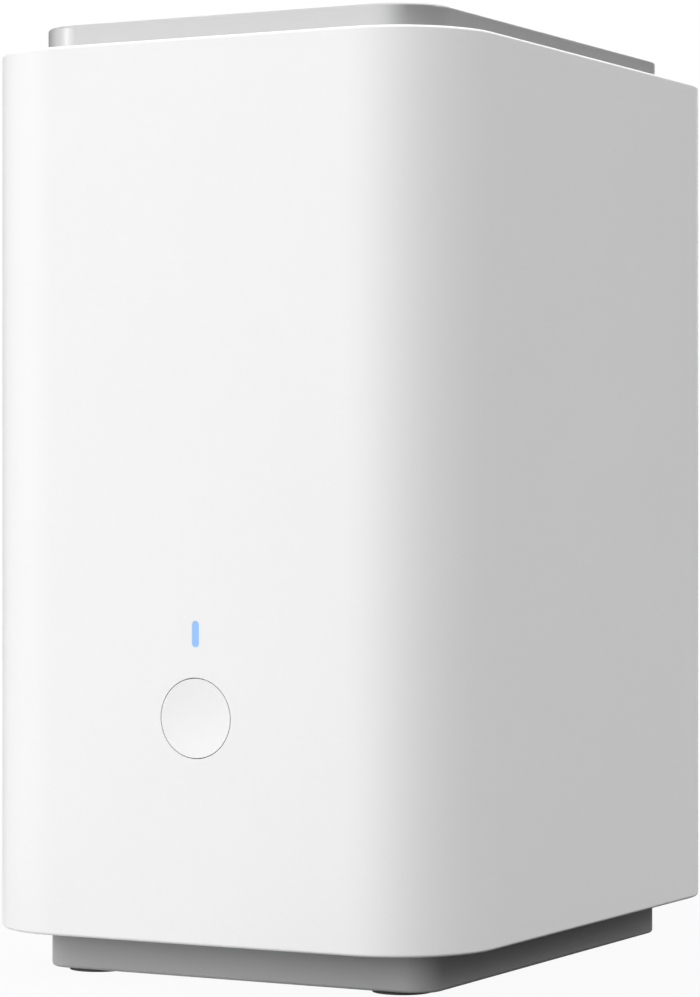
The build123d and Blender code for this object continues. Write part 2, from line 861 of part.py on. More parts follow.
def inner_frame():
    """The moulded bridge over the main board: a deck on four legs that stand on the tray's flange."""
    middle = (deck_front + deck_back) / 2
    half_y = (deck_back - deck_front) / 2
    body = slab(deck_half_width, half_y, leg_radius, deck_low, deck_top)
    near = cage_half_foot + deck_vent_margin
    far = leg_x - leg_radius - deck_vent_margin
    vent_y = half_y - deck_vent_end_margin
    vent = slab((far - near) / 2, vent_y, deck_vent_radius, deck_low - overrun, deck_top + overrun)
    for side in (-1, 1):
        body -= Pos(side * (near + far) / 2, 0, 0) * vent
    body = Pos(0, middle, 0) * body
    for x, y in leg_places():
        body += rod_z(x, y, leg_radius, flange_top, deck_low + deck_thickness / 2)
        body -= rod_z(x, y, screw_hole, flange_top - overrun, flange_low + frame_screw_length + overrun)
    for x, y in cage_screw_places():
        body += rod_z(x, y, leg_radius, deck_low - leg_radius, deck_low + deck_thickness / 2)
        body -= rod_z(x, y, small_hole, cage_floor - small_screw_length - overrun, deck_top + overrun)
    return body - plug_opening()


def plug_opening():
    """The opening that the drive's plug and leads pass through, in the deck and in the cage floor."""
    reach, half = plug_length / 2 + overrun, plug_width / 2 + overrun
    low, high = deck_low - overrun, cage_floor + overrun
    return block((plug_x - half, plug_y - reach, low), (plug_x + half, plug_y + reach, high))


def drive_cage():
    """The folded steel cage: a floor screwed to the deck and an upright at each end of the drive."""
    top = drive_high - cage_top_drop
    profile = [
        (-cage_half_outside, top),
        (-cage_half_outside, deck_top),
        (cage_half_outside, deck_top),
        (cage_half_outside, top),
        (cage_half_inside, top),
        (cage_half_inside, cage_floor),
        (-cage_half_inside, cage_floor),
        (-cage_half_inside, top),
    ]
    side_view = Plane(origin=(0, cage_y, 0), x_dir=(0, 1, 0), z_dir=(1, 0, 0))
    body = extrude(side_view * make_face(Polyline(*profile, close=True)), drive_thickness / 2, both=True)
    body = fillet(body.edges().filter_by(Axis.X).group_by(Axis.Z)[0], cage_sheet)
    reach = cage_half_inside - cage_sheet
    body += block((-cage_half_foot, cage_y - reach, deck_top), (cage_half_foot, cage_y + reach, cage_floor))
    low, high = [z for x, z in drive_screw_places()]
    front, back = cage_y - cage_half_outside - overrun, cage_y + cage_half_outside + overrun
    window = high - low - 2 * (grommet_radius + cage_window_margin)
    body -= pill_y(0, (low + high) / 2, drive_thickness / 2, window, front, back)
    for x, z in drive_screw_places():
        body -= rod_y(x, z, screw_hole, front, back)
    for x, y in cage_screw_places():
        body -= rod_z(x, y, small_hole, deck_top - overrun, cage_floor + overrun)
    return body - plug_opening()


def cage_screws():
    return [small_screw((x, y, cage_floor), (0, 0, -1), small_screw_length) for x, y in cage_screw_places()]


def drive_grommets():
    """Soft rings between the drive's edges and the cage, one at each screw."""
    rings = []
    for side in (-1, 1):
        near, far = sorted((cage_y + side * drive_width / 2, cage_y + side * cage_half_inside))
        for x, z in drive_screw_places():
            ring = rod_y(x, z, grommet_radius, near, far)
            rings.append(ring - rod_y(x, z, screw_hole, near - overrun, far + overrun))
    return rings


def drive_screws():
    length = cage_sheet + grommet_thickness + drive_screw_bite
    screws = []
    for side in (-1, 1):
        for x, z in drive_screw_places():
            screws.append(screw((x, cage_y + side * cage_half_outside, z), (0, -side, 0), length))
    return screws


def drive_face(x, inset):
    """The outline of the drive's broad face, drawn in by an inset, on the plane at X."""
    plane = Plane(origin=(x, cage_y, drive_middle), x_dir=(0, 1, 0), z_dir=(1, 0, 0))
    return plane * RectangleRounded(drive_width - 2 * inset, drive_length - 2 * inset, drive_corner_radius)


def drive_casting():
    """The cast body of the drive, pocketed on its board side and drilled on its edges."""
    right = drive_thickness / 2
    body = extrude(drive_face(drive_cover_thickness - right, 0), drive_thickness - drive_cover_thickness)
    body -= extrude(drive_face(right - drive_board_recess, drive_corner_radius), drive_board_recess + overrun)
    reach, left = plug_length / 2 + fit_gap, plug_x - plug_width / 2 - fit_gap
    body -= block((left, plug_y - reach, drive_low - overrun), (right + overrun, plug_y + reach, plug_high))
    for side in (-1, 1):
        face = cage_y + side * drive_width / 2
        near, far = sorted((face + side * overrun, face - side * (drive_screw_bite + overrun)))
        for x, z in drive_screw_places():
            body -= rod_y(x, z, screw_hole, near, far)
    return body


def drive_cover():
    """The pressed steel lid of the drive: a flange all round and a raised middle."""
    left = -drive_thickness / 2
    body = extrude(drive_face(left + drive_cover_thickness / 2, 0), drive_cover_thickness / 2)
    return body + extrude(drive_face(left, 3 * drive_corner_radius), drive_cover_thickness)


def drive_board():
    """The drive's own circuit board in the pocket of the casting, with its chips."""
    left = drive_thickness / 2 - drive_board_recess
    body = extrude(drive_face(left, drive_corner_radius + fit_gap), drive_board_thickness)
    reach, high = plug_length / 2 + fit_gap, plug_high + fit_gap
    low = (left - overrun, plug_y - reach, drive_low - overrun)
    body -= block(low, (left + drive_board_thickness + overrun, plug_y + reach, high))
    chip = left + drive_board_thickness + drive_chip_height
    for y_share, z_share, size_share in drive_chip_shares:
        side = size_share * drive_width
        y, z = cage_y + y_share * drive_width, drive_low + z_share * drive_length
        body += block((left, y, z), (chip, y + side, z + side))
    return body


def drive_plug():
    """The combined data and power plug on the drive's lower edge."""
    half_x, half_y = plug_width / 2, plug_length / 2
    return block((plug_x - half_x, plug_y - half_y, plug_low), (plug_x + half_x, plug_y + half_y, plug_high))


def drive_socket():
    return on_board(drive_socket_x, plug_y, drive_socket_width, plug_length, drive_socket_height)


def drive_cable():
    """The bundled leads from the drive's plug down and across to the socket on the main board."""
    low = main_board_top + drive_socket_height
    z = (plug_low + low) / 2
    bend = bend_share * min(drive_socket_x - plug_x, plug_low - low)
    leads = []
    for i in (-1, 0, 1):
        y = plug_y + i * plug_length / 4
        route = [(plug_x, y, plug_low), (plug_x, y, z), (drive_socket_x, y, z), (drive_socket_x, y, low)]
        leads.append(lead(route, drive_cable_radius, bend))
    return leads


def main_board():
    """The main circuit board on its four standoffs."""
    low = (-board_edge, main_board_front, main_board_low)
    body = block(low, (board_edge, main_board_back, main_board_top))
    for x, y in main_screw_places():
        body -= rod_z(x, y, screw_hole, main_board_low - overrun, main_board_top + overrun)
    return body


def board_screws():
    return [screw((x, y, main_board_top), (0, 0, -1), board_screw_length) for x, y in main_screw_places()]


def on_board(x, y, size_x, size_y, height):
    """A block standing on the main board, about its centre."""
    low = (x - size_x / 2, y - size_y / 2, main_board_top)
    return block(low, (x + size_x / 2, y + size_y / 2, main_board_top + height))


def processor():
    return on_board(sink_x, sink_y, processor_side, processor_side, processor_height)


def thermal_pad():
    pad = on_board(sink_x, sink_y, processor_side, processor_side, pad_thickness)
    return Pos(0, 0, processor_height) * pad


def heat_sink():
    """A finned block on the processor, in the room between the coils and the memory."""
    body = block((sink_left, sink_front, sink_low), (sink_right, sink_back, sink_low + sink_base))
    pitch = (sink_right - sink_left - sink_fin_thickness) / (sink_fin_count - 1)
    for i in range(sink_fin_count):
        left = sink_left + i * pitch
        body += block((left, sink_front, sink_low), (left + sink_fin_thickness, sink_back, sink_top))
    return body


def memory_chips():
    """Two columns beside the heat sink, a row at each end of it."""
    chips = []
    for y in (sink_front + memory_length / 2, sink_back - memory_length / 2):
        for x in (memory_inner_x, memory_outer_x):
            chips.append(on_board(x, y, memory_width, memory_length, memory_height))
    return chips


def power_coils():
    """Square coils with chamfered corners, spread along the heat sink."""
    pitch = (sink_back - sink_front - coil_side) / (coil_count - 1)
    coils = []
    for i in range(coil_count):
        body = on_board(coil_x, sink_front + coil_side / 2 + i * pitch, coil_side, coil_side, coil_height)
        coils.append(chamfer(body.edges().filter_by(Axis.Z), coil_side / 8))
    return coils


def capacitors():
    """Upright cans with the crimped groove near the foot."""
    foot, top = main_board_top, main_board_top + capacitor_height
    low = foot + capacitor_height / 6
    high = low + 2 * capacitor_groove
    rim, neck = capacitor_radius, capacitor_radius - capacitor_groove
    outline = [(0, foot), (rim, foot), (rim, low), (neck, low), (neck, high), (rim, high), (rim, top)]
    outline.append((0, top))
    places = (capacitor_x, capacitor_x + capacitor_gap + 2 * capacitor_radius, drive_socket_x)
    return [Pos(x, capacitor_y, 0) * turned(outline) for x in places]


def radio_modules():
    return [on_board(side * radio_x, radio_y, radio_width, radio_length, radio_height) for side in (-1, 1)]


def battery_holder():
    floor = main_board_top + holder_floor
    body = rod_z(battery_x, battery_y, holder_radius, main_board_top, floor + battery_thickness / 2)
    return body - rod_z(battery_x, battery_y, battery_radius + fit_gap, floor, floor + battery_thickness)


def clock_battery():
    floor = main_board_top + holder_floor
    return rod_z(battery_x, battery_y, battery_radius, floor, floor + battery_thickness)


def cable_sockets():
    """The sockets of the fan's, the loudspeaker's and the front board's leads."""
    places = ((fan_socket_x, capacitor_y), (speaker_socket_x, socket_y), (front_socket_x, socket_y))
    size = (cable_socket_width, cable_socket_length, cable_socket_height)
    return [on_board(x, y, *size) for x, y in places]


def ethernet_jack():
    """The network socket: its mouth with the latch notch below, and eight contacts along the mouth's top."""
    x = ethernet_x
    body = on_board(x, jack_face - ethernet_length / 2, ethernet_width, ethernet_length, ethernet_height)
    deep = jack_face - ethernet_mouth_depth
    latch_low = main_board_top + ethernet_floor
    mouth_low = latch_low + ethernet_latch_height
    mouth_high = mouth_low + ethernet_mouth_height
    half = ethernet_mouth_width / 2
    body -= block((x - half, deep, mouth_low), (x + half, jack_face + overrun, mouth_high))
    half = ethernet_latch_width / 2
    body -= block((x - half, deep, latch_low), (x + half, jack_face + overrun, mouth_low + ethernet_floor))
    front, half = jack_face - ethernet_pin_pitch, ethernet_pin_width / 2
    for i in range(ethernet_pin_count):
        pin = x + (i - (ethernet_pin_count - 1) / 2) * ethernet_pin_pitch
        body += block((pin - half, deep, mouth_high - ethernet_pin_pitch), (pin + half, front, mouth_high))
    return body


def usb_port():
    """The USB socket: a steel sleeve with the tongue inside."""
    x, deep = usb_x, jack_face - usb_length
    body = on_board(x, jack_face - usb_length / 2, usb_width, usb_length, usb_height)
    half = usb_width / 2 - usb_sheet
    low, high = main_board_top + usb_sheet, main_board_top + usb_height - usb_sheet
    body -= block((x - half, deep + usb_sheet, low), (x + half, jack_face + overrun, high))
    half, top = half - usb_tongue_margin, high - usb_tongue_margin
    tongue_low = (x - half, deep, top - usb_tongue_height)
    return body + block(tongue_low, (x + half, jack_face - usb_tongue_margin, top))


def power_jack():
    """The round power socket with its centre pin."""
    body = on_board(power_x, jack_face - power_length / 2, power_width, power_length, power_height)
    body -= rod_y(power_x, power_z, power_bore_radius, jack_face - power_bore_depth, jack_face + overrun)
    return body + rod_y(power_x, power_z, power_pin_radius, jack_face - power_length, jack_face - overrun)


def reset_switch():
    """The small switch behind the reset pin hole, bored for its plunger."""
    body = on_board(reset_x, reset_front - reset_length / 2, reset_width, reset_length, reset_height)
    deep = reset_front - reset_plunger_root - reset_travel - fit_gap
    return body - rod_y(reset_x, reset_z, reset_plunger_radius + slide_gap, deep, reset_front + overrun)


def reset_plunger():
    return rod_y(reset_x, reset_z, reset_plunger_radius, reset_front - reset_plunger_root, jack_face)


def fan_frame():
    """The fan's frame: two flanges on a round duct, and struts that carry the bearing tube."""
    half = fan_side / 2
    body = rod_y(0, grille_z, fan_bore_radius + fan_duct_wall, fan_front, fan_back)
    for front in (fan_front, fan_back - fan_flange):
        body += plate_y(half, grille_z - half, grille_z + half, fan_corner_radius, front, front + fan_flange)
    body -= rod_y(0, grille_z, fan_bore_radius, fan_front - overrun, fan_back + overrun)
    for x, z in fan_screw_places():
        body -= rod_y(x, z, small_hole, fan_front - overrun, fan_back + overrun)
    reach = fan_bore_radius + fan_duct_wall / 2
    strut = Box(reach, fan_strut_thickness, fan_strut_width, align=(Align.MIN, Align.MIN, Align.CENTER))
    for i in range(fan_strut_count):
        body += Pos(0, strut_front, grille_z) * Rot(0, 45 + i * 360 / fan_strut_count, 0) * strut
    body += rod_y(0, grille_z, hub_radius, strut_front, fan_back)
    body += rod_y(0, grille_z, bearing_tube_radius, bearing_front, fan_back)
    return body - rod_y(0, grille_z, bearing_radius, bearing_front - overrun, strut_front)


def fan_bearing():
    body = rod_y(0, grille_z, bearing_radius, bearing_front, strut_front)
    return body - rod_y(0, grille_z, shaft_radius + shaft_gap, bearing_front - overrun, strut_front + overrun)


def fan_coils():
    """The wound stator on the bearing tube: a ring core with a winding towards each side."""
    front = bearing_front + hub_wall
    body = rod_y(0, grille_z, bearing_tube_radius + coil_core_wall, front, strut_front)
    reach = hub_radius - hub_wall - coil_gap
    winding = Box(reach, strut_front - front, reach / 2, align=(Align.MIN, Align.MIN, Align.CENTER))
    for i in range(fan_strut_count):
        body += Pos(0, front, grille_z) * Rot(0, i * 360 / fan_strut_count, 0) * winding
    return body - rod_y(0, grille_z, bearing_tube_radius, front - overrun, strut_front + overrun)


def blade_section(radius, angle):
    """A blade's section on a plane square to its radius, turned to its angle."""
    plane = Plane(origin=(radius, 0, 0), x_dir=(0, 1, 0), z_dir=(1, 0, 0))
    return plane * Rot(0, 0, angle) * SlotOverall(blade_chord, blade_thickness)


def fan_rotor():
    """The rotor: a cup over the windings, twisted blades and the shaft."""
    front, back = fan_front + hub_gap, strut_front - hub_gap
    body = rod_y(0, grille_z, hub_radius, front, back)
    root = blade_section(hub_radius - hub_wall / 2, blade_root_angle)
    tip = blade_section(rotor_radius + overrun, blade_tip_angle)
    blade = loft([root, tip])
    for i in range(blade_count):
        body += Pos(0, (front + back) / 2, grille_z) * Rot(0, i * 360 / blade_count, 0) * blade
    body &= rod_y(0, grille_z, rotor_radius, front, back)
    body -= rod_y(0, grille_z, hub_radius - hub_wall, front + hub_wall, back + overrun)
    return body + rod_y(0, grille_z, shaft_radius, front, back)


def fan_screws():
    seat = fan_back - fan_flange
    return [small_screw((x, seat, z), (0, 1, 0), fan_screw_length) for x, z in fan_screw_places()]


def fan_cable():
    """The fan's lead, down behind the deck to its socket on the main board."""
    x, y = fan_socket_x, capacitor_y
    start = (fan_front + fan_back) / 2
    top = grille_z - fan_bore_radius - fan_duct_wall
    low = main_board_top + cable_socket_height
    z = deck_low - fan_cable_drop
    route = [(0, start, top), (0, start, z), (x, y, z), (x, y, low)]
    return lead(route, fan_cable_radius, bend_share * (z - low))


def speaker_frame():
    """The loudspeaker's basket, mouth down: a square flange, a stepped rim and a windowed cone."""
    rim, wall = speaker_mouth_radius, speaker_sheet
    outline = [
        (rim - cone_thickness, 0),
        (rim + wall, 0),
        (rim + wall, speaker_rim_height),
        (speaker_back_radius, speaker_seat),
        (voice_gap_radius, speaker_seat),
        (voice_gap_radius, speaker_seat - wall),
        (speaker_back_radius - wall, speaker_seat - wall),
        (rim, speaker_rim_height),
        (rim, surround_seat),
        (rim - cone_thickness, surround_seat),
    ]
    half = speaker_side / 2
    flange = slab(half, half, speaker_corner_radius, 0, wall) - rod_z(0, 0, rim, -overrun, wall + overrun)
    body = turned(outline) + flange
    height = speaker_seat - speaker_rim_height - 2 * wall
    window = Box(rim, speaker_window_width, height, align=(Align.MIN, Align.CENTER, Align.MIN))
    window = Pos(speaker_back_radius, 0, speaker_rim_height) * window
    for i in range(speaker_window_count):
        body -= Rot(0, 0, i * 360 / speaker_window_count) * window
    reach = half - speaker_hole_inset
    for x, y in four(reach, reach):
        body -= rod_z(x, y, small_hole, -overrun, wall + overrun)
    return Pos(0, speaker_y, speaker_low) * body


def speaker_magnet():
    """The magnet cup with its round groove for the voice coil and the pole in the middle."""
    pole = coil_former_radius - cone_thickness - fit_gap
    groove = speaker_depth - speaker_sheet
    outline = [
        (0, speaker_seat),
        (pole, speaker_seat),
        (pole, groove),
        (voice_gap_radius, groove),
        (voice_gap_radius, speaker_seat),
        (speaker_magnet_radius, speaker_seat),
        (speaker_magnet_radius, speaker_depth),
        (0, speaker_depth),
    ]
    return Pos(0, speaker_y, speaker_low) * turned(outline)


def speaker_cone():
    """The paper cone, one profile turned about its axis: rim, cone, voice coil tube and dust cap."""
    rim, wall, low = speaker_mouth_radius - surround_width, cone_thickness, surround_seat
    neck = speaker_seat - speaker_sheet - surround_width
    tube_top = speaker_seat + surround_width
    outline = [
        (0, neck - wall),
        (coil_former_radius - wall, neck - wall),
        (rim - wall, low - wall),
        (rim + wall, low - wall),
        (rim + wall, low),
        (rim, low),
        (coil_former_radius, neck),
        (coil_former_radius, tube_top),
        (coil_former_radius - wall, tube_top),
        (coil_former_radius - wall, neck),
        (0, neck),
    ]
    return Pos(0, speaker_y, speaker_low) * turned(outline)


def speaker_surround():
    """The rubber half roll that joins the cone's rim to the step in the basket."""
    roll = Circle(surround_width / 2) - Circle(surround_width / 2 - cone_thickness)
    upper = Rectangle(2 * surround_width, surround_width, align=(Align.CENTER, Align.MIN))
    middle = speaker_mouth_radius - surround_width / 2
    ring = revolve(Plane.XZ * (Pos(middle, surround_seat) * (roll & upper)), Axis.Z)
    return Pos(0, speaker_y, speaker_low) * ring


def speaker_gasket():
    ring = rod_z(0, 0, speaker_mouth_radius + gasket_width, 0, gasket_thickness)
    ring -= rod_z(0, 0, speaker_mouth_radius, -overrun, gasket_thickness + overrun)
    return Pos(0, speaker_y, tray_floor) * ring


def speaker_screws():
    seat = speaker_low + speaker_sheet
    length = seat - foot_drop - tray_wall / 2
    return [small_screw((x, y, seat), (0, 0, -1), length) for x, y in speaker_screw_places()]


def speaker_cable():
    """The loudspeaker's lead, out in front of the main board and up to its socket."""
    x, end = speaker_socket_x, socket_y - cable_socket_length / 2
    front = end - speaker_cable_reach
    low = speaker_top - speaker_magnet_height / 2
    high = main_board_top + cable_socket_height / 2
    away = Vector(x, front - speaker_y, 0).normalized() * speaker_magnet_radius
    route = [(away.X, speaker_y + away.Y, low), (x, front, low), (x, front, high), (x, end, high)]
    return lead(route, speaker_cable_radius, bend_share * min(high - low, speaker_cable_reach))


def antennas():
    """Flat antenna boards stuck to the sleeve's side walls near the top."""
    high = ledge_low - antenna_top_drop
    low = high - antenna_length
    front, back = radio_y - antenna_width / 2, radio_y + antenna_width / 2
    boards = []
    for side in (-1, 1):
        near, far = sorted((side * cavity_half_width, side * (cavity_half_width - antenna_thickness)))
        boards.append(block((near, front, low), (far, back, high)))
    return boards


def antenna_cables():
    """The coaxial leads down the side walls to the plugs on the radio modules."""
    top = ledge_low - antenna_top_drop - antenna_length
    z = deck_low - coax_drop
    module_top = main_board_top + radio_height
    plug_top = module_top + coax_plug_height
    leads = []
    for side in (-1, 1):
        x, wall = side * radio_x, side * (cavity_half_width - coax_wall_gap - coax_radius)
        route = [(wall, radio_y, top), (wall, radio_y, z), (x, radio_y, z), (x, radio_y, plug_top)]
        coax = lead(route, coax_radius, bend_share * (z - plug_top))
        leads.append(coax + rod_z(x, radio_y, coax_plug_radius, module_top, plug_top))
    return leads


pieces = (
    outer_shell,
    top_cap,
    cap_screws,
    base_tray,
    rubber_feet,
    shell_screws,
    frame_screws,
    rear_grille,
    port_panel,
    front_button,
    status_light_pipe,
    status_led,
    front_board,
    front_board_screws,
    front_switch,
    front_switch_plunger,
    front_board_cable,
    inner_frame,
    drive_cage,
    cage_screws,
    drive_grommets,
    drive_screws,
    drive_casting,
    drive_cover,
    drive_board,
    drive_plug,
    drive_socket,
    drive_cable,
    main_board,
    board_screws,
    processor,
    thermal_pad,
    heat_sink,
    memory_chips,
    power_coils,
    capacitors,
    radio_modules,
    battery_holder,
    clock_battery,
    cable_sockets,
    ethernet_jack,
    usb_port,
    power_jack,
    reset_switch,
    reset_plunger,
    fan_frame,
    fan_bearing,
    fan_coils,
    fan_rotor,
    fan_screws,
    fan_cable,
    speaker_frame,
    speaker_magnet,
    speaker_cone,
    speaker_surround,
    speaker_gasket,
    speaker_screws,
    speaker_cable,
    antennas,
    antenna_cables,
)

os.makedirs("parts", exist_ok=True)
for make in pieces:
    made = make()
    shape = Compound(children=made) if isinstance(made, list) else made
    export_step(shape, f"parts/{make.__name__}.step")
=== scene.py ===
import json
import math
from typing import NamedTuple

import bpy
import numpy as np
from bpy.props import FloatProperty, FloatVectorProperty, PointerProperty
from mathutils import Matrix, Vector

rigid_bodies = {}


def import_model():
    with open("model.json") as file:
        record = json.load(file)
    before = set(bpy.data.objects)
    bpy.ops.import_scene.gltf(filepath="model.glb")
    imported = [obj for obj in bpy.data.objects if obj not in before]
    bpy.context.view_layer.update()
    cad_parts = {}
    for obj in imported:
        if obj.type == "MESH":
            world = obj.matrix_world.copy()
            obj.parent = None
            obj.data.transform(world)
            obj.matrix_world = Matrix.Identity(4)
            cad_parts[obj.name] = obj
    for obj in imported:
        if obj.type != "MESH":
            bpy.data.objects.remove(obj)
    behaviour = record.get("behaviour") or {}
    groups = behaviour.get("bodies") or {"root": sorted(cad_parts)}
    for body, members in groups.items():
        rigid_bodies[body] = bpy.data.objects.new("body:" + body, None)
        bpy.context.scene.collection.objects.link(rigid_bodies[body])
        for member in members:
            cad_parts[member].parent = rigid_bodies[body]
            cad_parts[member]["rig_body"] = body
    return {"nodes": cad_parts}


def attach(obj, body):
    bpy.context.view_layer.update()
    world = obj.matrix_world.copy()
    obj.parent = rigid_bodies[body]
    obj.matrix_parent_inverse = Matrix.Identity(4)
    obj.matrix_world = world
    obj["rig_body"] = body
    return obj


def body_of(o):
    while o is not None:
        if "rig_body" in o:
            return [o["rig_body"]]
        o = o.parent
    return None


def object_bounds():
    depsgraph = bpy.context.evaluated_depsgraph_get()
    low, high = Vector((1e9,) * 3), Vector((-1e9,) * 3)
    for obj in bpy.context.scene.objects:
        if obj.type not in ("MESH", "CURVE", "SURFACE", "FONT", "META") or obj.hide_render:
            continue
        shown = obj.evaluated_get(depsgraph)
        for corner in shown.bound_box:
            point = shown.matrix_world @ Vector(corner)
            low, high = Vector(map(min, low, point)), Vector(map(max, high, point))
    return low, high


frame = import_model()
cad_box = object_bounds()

bl_info = {
    "name": "Security camera base station",
    "version": (1, 0, 0),
    "blender": (4, 5, 0),
    "location": "3D View > Sidebar > Base station",
    "description": "Dresses the base station's pieces in moulded plastic, metal, rubber and circuit board",
    "category": "Object",
}


class Lobe(NamedTuple):
    """A cone of directions, in degrees: its axis, where it is whole and where it has faded out."""

    turn: float
    rise: float
    whole: float
    faded: float


# Parts of the studio: turned to the right of the front and raised above the floor
front_lobe = Lobe(turn=-19, rise=14, whole=15, faded=60)
side_lobe = Lobe(turn=128, rise=58, whole=15, faded=48)
dark_right = Lobe(turn=92, rise=0, whole=32, faded=108)
dark_left = Lobe(turn=-150, rise=0, whole=30, faded=75)
pale_above = Lobe(turn=0, rise=90, whole=35, faded=65)
dark_left_share = 0.8
paper_white = (1.0, 1.0, 1.0)


# Shader sums: a socket that takes part in Python expressions
class Signal:
    """A number on a shader socket. Its operators add Math nodes to the same tree."""

    def __init__(self, shading, socket):
        self.shading = shading
        self.socket = socket

    def maths(self, operation, first, second=0.0, third=0.0):
        inputs = {0: first, 1: second, 2: third}
        return self.shading.add("ShaderNodeMath", {"operation": operation}, inputs)

    def __add__(self, other):
        return self.maths("ADD", self, other)

    def __radd__(self, other):
        return self.maths("ADD", other, self)

    def __sub__(self, other):
        return self.maths("SUBTRACT", self, other)

    def __rsub__(self, other):
        return self.maths("SUBTRACT", other, self)

    def __mul__(self, other):
        return self.maths("MULTIPLY", self, other)

    def __rmul__(self, other):
        return self.maths("MULTIPLY", other, self)

    def step(self, low, high):
        """0 below one value, 1 above the other, and a smooth rise between them."""
        inputs = {"Value": self, "From Min": low, "From Max": high}
        return self.shading.add("ShaderNodeMapRange", {"interpolation_type": "SMOOTHSTEP"}, inputs)


class Shading:
    """A node tree under construction."""

    def __init__(self, tree):
        self.tree = tree

    def add(self, kind, settings=None, inputs=None, output=0):
        node = self.tree.nodes.new(kind)
        for name, value in (settings or {}).items():
            setattr(node, name, value)
        for name, value in (inputs or {}).items():
            self.join(value, node.inputs[name])
        return Signal(self, node.outputs[output])

    def join(self, value, socket):
        if isinstance(value, Signal):
            self.tree.links.new(value.socket, socket)
        else:
            socket.default_value = value

    def mix(self, share, first, second):
        """A colour between two others."""
        node = self.tree.nodes.new("ShaderNodeMix")
        node.data_type = "RGBA"
        self.join(share, node.inputs[0])
        self.join(first, node.inputs[6])
        self.join(second, node.inputs[7])
        return Signal(self, node.outputs[2])

    def rays(self):
        """1 for the camera's rays or 0, and the same for the rays of glossy and clear pieces."""
        outputs = ("Is Camera Ray", "Is Glossy Ray", "Is Transmission Ray")
        camera, gloss, clear = (self.add("ShaderNodeLightPath", output=name) for name in outputs)
        return camera, 1 - (1 - gloss) * (1 - clear)

    def facing(self, towards, lobe):
        """1 for a direction in the middle of a lobe, 0 outside it, and a smooth fall between."""
        turn, rise = math.radians(lobe.turn), math.radians(lobe.rise)
        axis = (math.cos(rise) * math.sin(turn), -math.cos(rise) * math.cos(turn), math.sin(rise))
        inputs = {0: towards, 1: axis}
        along = self.add("ShaderNodeVectorMath", {"operation": "DOT_PRODUCT"}, inputs, "Value")
        return along.step(math.cos(math.radians(lobe.faded)), math.cos(math.radians(lobe.whole)))

    def dimness(self, towards):
        """How dark the studio is in a direction: 1 at the right, less at the back left, 0 overhead."""
        right = self.facing(towards, dark_right)
        left = self.facing(towards, dark_left) * dark_left_share
        return (1 - (1 - right) * (1 - left)) * (1 - self.facing(towards, pale_above))

    def surface(self, shader):
        """Makes a shader the one that the tree ends in."""
        outlet = next(node for node in self.tree.nodes if "Surface" in node.inputs and not node.outputs)
        self.tree.links.new(shader.socket, outlet.inputs["Surface"])


class Finish(Shading):
    """A material under construction, with patterns measured in metres on the piece itself."""

    def __init__(self, name, **fixed):
        self.material = bpy.data.materials.new(name)
        self.material.use_nodes = True
        super().__init__(self.material.node_tree)
        self.shader = self.tree.nodes["Principled BSDF"]
        for socket, value in fixed.items():
            self.shader.inputs[socket.replace("_", " ")].default_value = value
        self.place = self.add("ShaderNodeTexCoord", output="Object")

    def stretched(self, x, y, z):
        """The place with its axes drawn out, for brushed and wound surfaces."""
        inputs = {"Vector": self.place, "Scale": (x, y, z)}
        return self.add("ShaderNodeMapping", {"vector_type": "POINT"}, inputs)

    def cloud(self, size, detail=2.0, place=None):
        """Soft noise from 0 to 1 whose spots are about the size given."""
        inputs = {"Vector": place or self.place, "Scale": 1 / size, "Detail": detail}
        return self.add("ShaderNodeTexNoise", {}, inputs)

    def cells(self, size, **settings):
        """Distance from the middles, or from the edges, of cells of about the size given."""
        return self.add("ShaderNodeTexVoronoi", settings, {"Vector": self.place, "Scale": 1 / size})

    def bands(self, size, axis):
        """Even waves from 0 to 1 along one axis."""
        wave_at_scale_one = 0.314
        inputs = {"Vector": self.place, "Scale": wave_at_scale_one / size}
        settings = {"wave_type": "BANDS", "bands_direction": axis}
        return self.add("ShaderNodeTexWave", settings, inputs)

    def paint(self, **sockets):
        """Puts values or patterns into the shader's sockets."""
        for socket, value in sockets.items():
            self.join(value, self.shader.inputs[socket.replace("_", " ")])

    def bump(self, height, depth):
        """Relief on the surface: a height from 0 to 1 that stands for a depth in metres."""
        self.paint(Normal=self.add("ShaderNodeBump", {}, {"Height": height, "Distance": depth}))
        return self


def rgba(colour, share=1.0):
    return tuple(min(share * c, 1.0) for c in colour[:3]) + (1.0,)


# Finishes of this object's pieces
def moulded(name, colour, roughness, grain=0.0004, depth=0.000012, metal=0.0, ior=1.48):
    """Moulded plastic: a spark-eroded grain, a faint drift of tone and a slightly uneven sheen."""
    drift, swing = 0.02, 0.1
    finish = Finish(name, Metallic=metal, IOR=ior)
    tone = finish.cloud(size=0.05) * 0.7 + finish.cloud(size=grain * 3, detail=3.0) * 0.3
    sheen = finish.cloud(size=0.012, detail=3.0) * swing + (roughness - swing / 2)
    base = finish.mix(tone, rgba(colour, 1 - drift), rgba(colour, 1 + drift))
    finish.paint(Base_Color=base, Roughness=sheen)
    return finish.bump(finish.cloud(size=grain, detail=3.0), depth).material


def rubber(name, colour):
    """Matt rubber with a dusty bloom and fine pits."""
    finish = Finish(name, IOR=1.5)
    bloom = finish.cloud(size=0.004, detail=4.0).step(0.45, 0.75)
    base = finish.mix(bloom, rgba(colour), rgba(colour, 1.5))
    finish.paint(Base_Color=base, Roughness=bloom * 0.1 + 0.78)
    return finish.bump(finish.cloud(size=0.0003, detail=4.0), depth=0.00003).material


